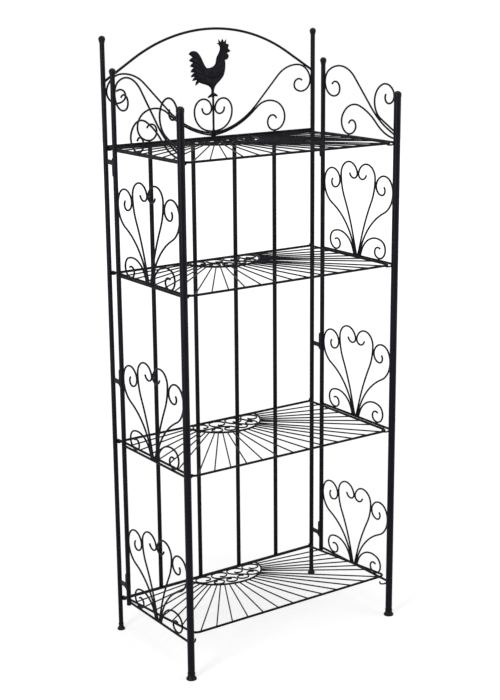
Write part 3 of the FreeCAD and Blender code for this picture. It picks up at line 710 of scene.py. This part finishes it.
# %% [markdown]
# ## The floor
#
# A product shot stands on a pale floor that melts into its background, with only a soft
# shadow to say where the feet are. A white plane lit by lamps goes grey in the distance, and
# a curved wall behind it shows its bend. Here the floor is a wide disc that adds a little
# light of its own for the camera and for reflections: less near the rack, where the shadow
# has to stay, and the full white towards its rim, where it meets the white air.

# %% A wide round floor
FLOOR_RADIUS = 12.0


def disc(name, radius, corners=96):
    """A flat round sheet on the ground."""
    mesh = bpy.data.meshes.new(name)
    turns = [2 * math.pi * corner / corners for corner in range(corners)]
    mesh.from_pydata([(radius * math.cos(t), radius * math.sin(t), 0.0) for t in turns], [],
                     [tuple(range(corners))])
    return placed(name, mesh)


floor = disc("studio_floor", FLOOR_RADIUS)
print("floor:", FLOOR_RADIUS, "m in radius")

# %% Tell the rays that look from the rays that light
LOOKING_RAYS = ("Is Camera Ray", "Is Glossy Ray", "Is Transmission Ray")


def seen_by(tree, *rays):
    """1 where the ray that looks is one of these kinds, otherwise 0."""
    path = tree.nodes.new("ShaderNodeLightPath")
    seen = path.outputs[rays[0]]
    for ray in rays[1:]:
        either = tree.nodes.new("ShaderNodeMath")
        either.operation = "MAXIMUM"
        tree.links.new(seen, either.inputs[0])
        tree.links.new(path.outputs[ray], either.inputs[1])
        seen = either.outputs["Value"]
    return seen


# %% The floor's white
FLOOR_WHITE, NEAR_GLOW = 0.45, 0.62
GLOW_SPAN = (0.8, 6.0)          # the glow grows between these distances, in metres


def studio_white(name, matt_white, near_glow, span):
    """A matt white whose own glow grows from near_glow to 1 over a span of distances."""
    material = bpy.data.materials.new(name)
    material.use_nodes = True
    tree = material.node_tree
    tree.nodes.clear()
    output = tree.nodes.new("ShaderNodeOutputMaterial")
    matt = tree.nodes.new("ShaderNodeBsdfDiffuse")
    matt.inputs["Color"].default_value = (matt_white, matt_white, matt_white, 1)
    place = tree.nodes.new("ShaderNodeTexCoord")
    distance = tree.nodes.new("ShaderNodeVectorMath")
    distance.operation = "LENGTH"
    tree.links.new(place.outputs["Object"], distance.inputs[0])
    glow = between(tree, distance.outputs["Value"], near_glow, 1.0, span)
    strength = tree.nodes.new("ShaderNodeMath")
    strength.operation = "MULTIPLY"
    tree.links.new(glow, strength.inputs[0])
    tree.links.new(seen_by(tree, *LOOKING_RAYS), strength.inputs[1])
    light = tree.nodes.new("ShaderNodeEmission")
    tree.links.new(strength.outputs["Value"], light.inputs["Strength"])
    both = tree.nodes.new("ShaderNodeAddShader")
    tree.links.new(matt.outputs["BSDF"], both.inputs[0])
    tree.links.new(light.outputs["Emission"], both.inputs[1])
    tree.links.new(both.outputs["Shader"], output.inputs["Surface"])
    return material


floor.data.materials.append(studio_white("studio_white", FLOOR_WHITE, NEAR_GLOW, GLOW_SPAN))
print("floor white:", FLOOR_WHITE, "matt, with a glow from", NEAR_GLOW, "to 1")

# %% [markdown]
# ## Soft light
#
# Black steel shows its shape only by what it mirrors: the long pale bands down its tubes are
# soft boxes. So the lamps are large and stand up, one to the left of the camera, a weaker one
# to the right and a wide one overhead. The air round them fills in evenly at a lower level,
# and is plain white to whoever looks at it, straight or by way of a reflection.

# %% Lamps
RACK_MIDDLE = (0.0, 0.0, 0.85)


def soft_box(name, place, aim, width, height, watts):
    """A rectangular lamp that faces a point."""
    lamp = bpy.data.lights.new(name, "AREA")
    lamp.shape = "RECTANGLE"
    lamp.size, lamp.size_y = width, height
    lamp.energy = watts
    box = placed(name, lamp)
    box.location = place
    box.rotation_euler = (Vector(aim) - Vector(place)).to_track_quat("-Z", "Y").to_euler()


soft_box("left_soft_box", (-3.6, -1.6, 1.6), RACK_MIDDLE, width=1.0, height=2.6, watts=110)
soft_box("right_soft_box", (2.4, -3.4, 1.7), RACK_MIDDLE, width=0.9, height=2.4, watts=40)
soft_box("overhead_soft_box", (0.0, -0.4, 4.2), RACK_MIDDLE, width=3.0, height=3.0, watts=75)

# %% The air
AIR_FILL = 0.42


def studio_air(name, fill):
    """White to look at, and lighting the scene at the level of fill."""
    world = bpy.data.worlds.new(name)
    world.use_nodes = True
    tree = world.node_tree
    air = tree.nodes["Background"]
    air.inputs["Color"].default_value = (1, 1, 1, 1)
    strength = between(tree, seen_by(tree, *LOOKING_RAYS), fill, 1.0, span=(0.0, 1.0))
    tree.links.new(strength, air.inputs["Strength"])
    bpy.context.scene.world = world


studio_air("studio_air", AIR_FILL)
print("air: fills at", AIR_FILL)

# %% [markdown]
# ## The camera
#
# The rack is seen from the left and a little above, through a long lens that keeps its
# uprights nearly parallel. Three angles aim the camera: the turn from straight ahead, the tilt
# down and a trace of roll. From them come its three axes, the columns of its matrix.

# %% Aim the camera
FOCAL_LENGTH, SENSOR_HEIGHT = 74.957, 36.0      # both in millimetres
CAMERA_PLACE = Vector((-2.1911, -3.1503, 1.8149))
TURN, TILT, ROLL = math.radians(34.64), math.radians(14.75), math.radians(-0.483)

ahead = Vector((math.sin(TURN) * math.cos(TILT), math.cos(TURN) * math.cos(TILT),
                -math.sin(TILT)))
level = Vector((math.cos(TURN), -math.sin(TURN), 0.0))
upright = level.cross(ahead)
right = level * math.cos(ROLL) + upright * math.sin(ROLL)
above = upright * math.cos(ROLL) - level * math.sin(ROLL)

lens = bpy.data.cameras.new("camera")
lens.sensor_fit = "VERTICAL"
lens.sensor_height = SENSOR_HEIGHT
lens.lens = FOCAL_LENGTH
camera = placed("camera", lens)
camera.matrix_world = Matrix(((right.x, above.x, -ahead.x, CAMERA_PLACE.x),
                              (right.y, above.y, -ahead.y, CAMERA_PLACE.y),
                              (right.z, above.z, -ahead.z, CAMERA_PLACE.z),
                              (0, 0, 0, 1)))
bpy.context.scene.camera = camera
bpy.context.scene.view_settings.view_transform = "Standard"
print("camera", round((CAMERA_PLACE - Vector(RACK_MIDDLE)).length, 2), "m from the rack")
